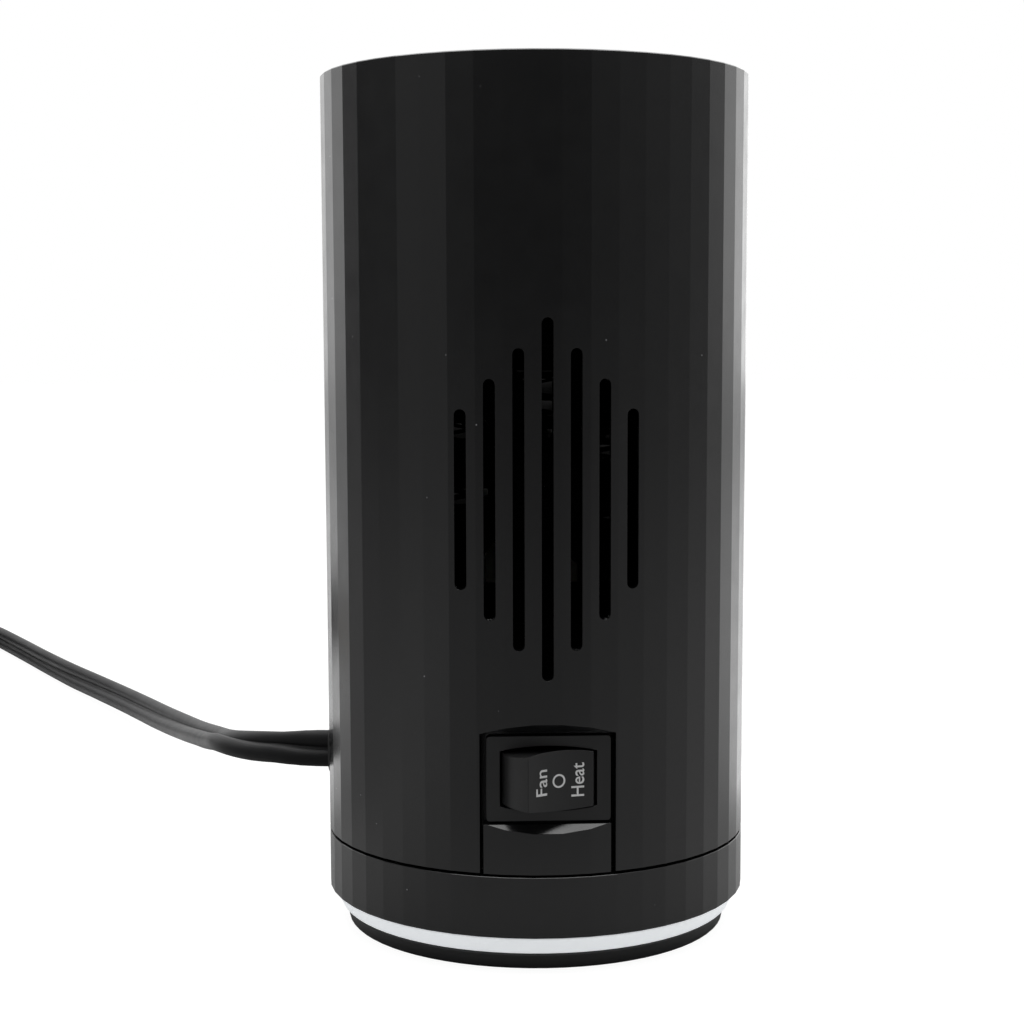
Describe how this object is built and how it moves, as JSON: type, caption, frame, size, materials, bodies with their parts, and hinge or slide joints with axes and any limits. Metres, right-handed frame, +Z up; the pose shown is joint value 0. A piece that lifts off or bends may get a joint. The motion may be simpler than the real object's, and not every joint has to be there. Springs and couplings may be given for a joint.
{
  "type": "small ceramic space heater",
  "caption": "Small tabletop ceramic fan heater: faceted black cylinder with rear intake slots, rocker switch, front grille, light ring, tip-over switch and coiled mains cord.",
  "frame": {"origin": "centre of the underside of the base plate, on the housing's axis, within half a millimetre of the floor that the rubber feet stand on", "axes": "+Z up along the housing's axis, +Y towards the front outlet grille, -Y towards the intake slots and the switch, -X towards the side the cord leaves from"},
  "size_m": [0.3151, 0.3816, 0.1534],
  "materials": {
    "black_plastic": "semi-gloss moulded black",
    "satin_black_plastic": "satin black",
    "white_plastic": "translucent white, faintly blue",
    "black_rubber": "matt",
    "black_nylon": "heat-resistant, matt black",
    "bright_steel": "bright zinc plated",
    "brass": "bright",
    "aluminium": "plain rolled",
    "ceramic": "matt cream",
    "circuit_board": "green solder mask",
    "capacitor_case": "amber potted case",
    "cord_pvc": "satin black flexible PVC",
    "wire_white": "white insulation",
    "wire_red": "red insulation"
  },
  "bodies": {
    "housing": {"accent_ring": "white_plastic", "base_plate": "satin_black_plastic", "base_screw_1": "bright_steel", "base_screw_2": "bright_steel", "base_screw_3": "bright_steel", "base_skirt": "black_plastic", "control_board": "circuit_board", "cord_coil": "cord_pvc", "cord_tail": "cord_pvc", "cord_tie": "black_rubber", "electrode_1": "aluminium", "electrode_2": "aluminium", "electrode_3": "aluminium", "electrode_4": "aluminium", "fan_frame": "black_nylon", "fan_motor": "bright_steel", "film_capacitor": "capacitor_case", "fin_pack_1": "aluminium", "fin_pack_2": "aluminium", "fin_pack_3": "aluminium", "front_grille": "satin_black_plastic", "heater_frame": "black_nylon", "inner_frame": "black_nylon", "main_shell": "black_plastic", "plug_blade_narrow": "brass", "plug_blade_wide": "brass", "plug_body": "cord_pvc", "plunger_guide": "black_nylon", "plunger_spring": "bright_steel", "power_cord": "cord_pvc", "ptc_bar_1": "ceramic", "ptc_bar_2": "ceramic", "rectifier": "satin_black_plastic", "rubber_foot_1": "black_rubber", "rubber_foot_2": "black_rubber", "rubber_foot_3": "black_rubber", "rubber_foot_4": "black_rubber", "strain_relief": "black_rubber", "switch_housing": "satin_black_plastic", "switch_panel": "black_plastic", "switch_terminal_1": "brass", "switch_terminal_2": "brass", "switch_terminal_3": "brass", "thermal_fuse": "bright_steel", "thermostat": "satin_black_plastic", "tip_switch": "satin_black_plastic", "top_cap": "satin_black_plastic", "wire_fan": "satin_black_plastic", "wire_heater": "wire_red", "wire_live": "satin_black_plastic", "wire_neutral": "wire_white"},
    "rocker": {"rocker": "satin_black_plastic"},
    "impeller": {"impeller": "satin_black_plastic", "motor_shaft": "bright_steel"},
    "tip_plunger": {"tip_plunger": "satin_black_plastic"},
    "tip_switch_lever": {"tip_switch_lever": "bright_steel"}
  },
  "joints": [
    {"name": "rocker_pivot", "type": "hinge", "parent": "housing", "child": "rocker", "pos_m": [0.0002, -0.0343, 0.0336], "axis": [0, 0, 1], "range_deg": [-44, 0]},
    {"name": "impeller_spin", "type": "hinge", "parent": "housing", "child": "impeller", "pos_m": [0, 0, 0.0804], "axis": [0, 1, 0], "continuous": true},
    {"name": "plunger_slide", "type": "slide", "parent": "housing", "child": "tip_plunger", "axis": [0, 0, 1], "range_m": [-0.003, 0], "stiffness_N_per_m": 60, "springref_m": -0.009, "deforming": ["plunger_spring"]},
    {"name": "lever_pivot", "type": "hinge", "parent": "housing", "child": "tip_switch_lever", "pos_m": [0.0125, 0.014, 0.02755], "axis": [0, 1, 0], "range_deg": [-14, 0]}
  ],
  "couplings": [
    {"joint": "lever_pivot", "follows": "plunger_slide", "rad_per_m": 78}
  ]
}
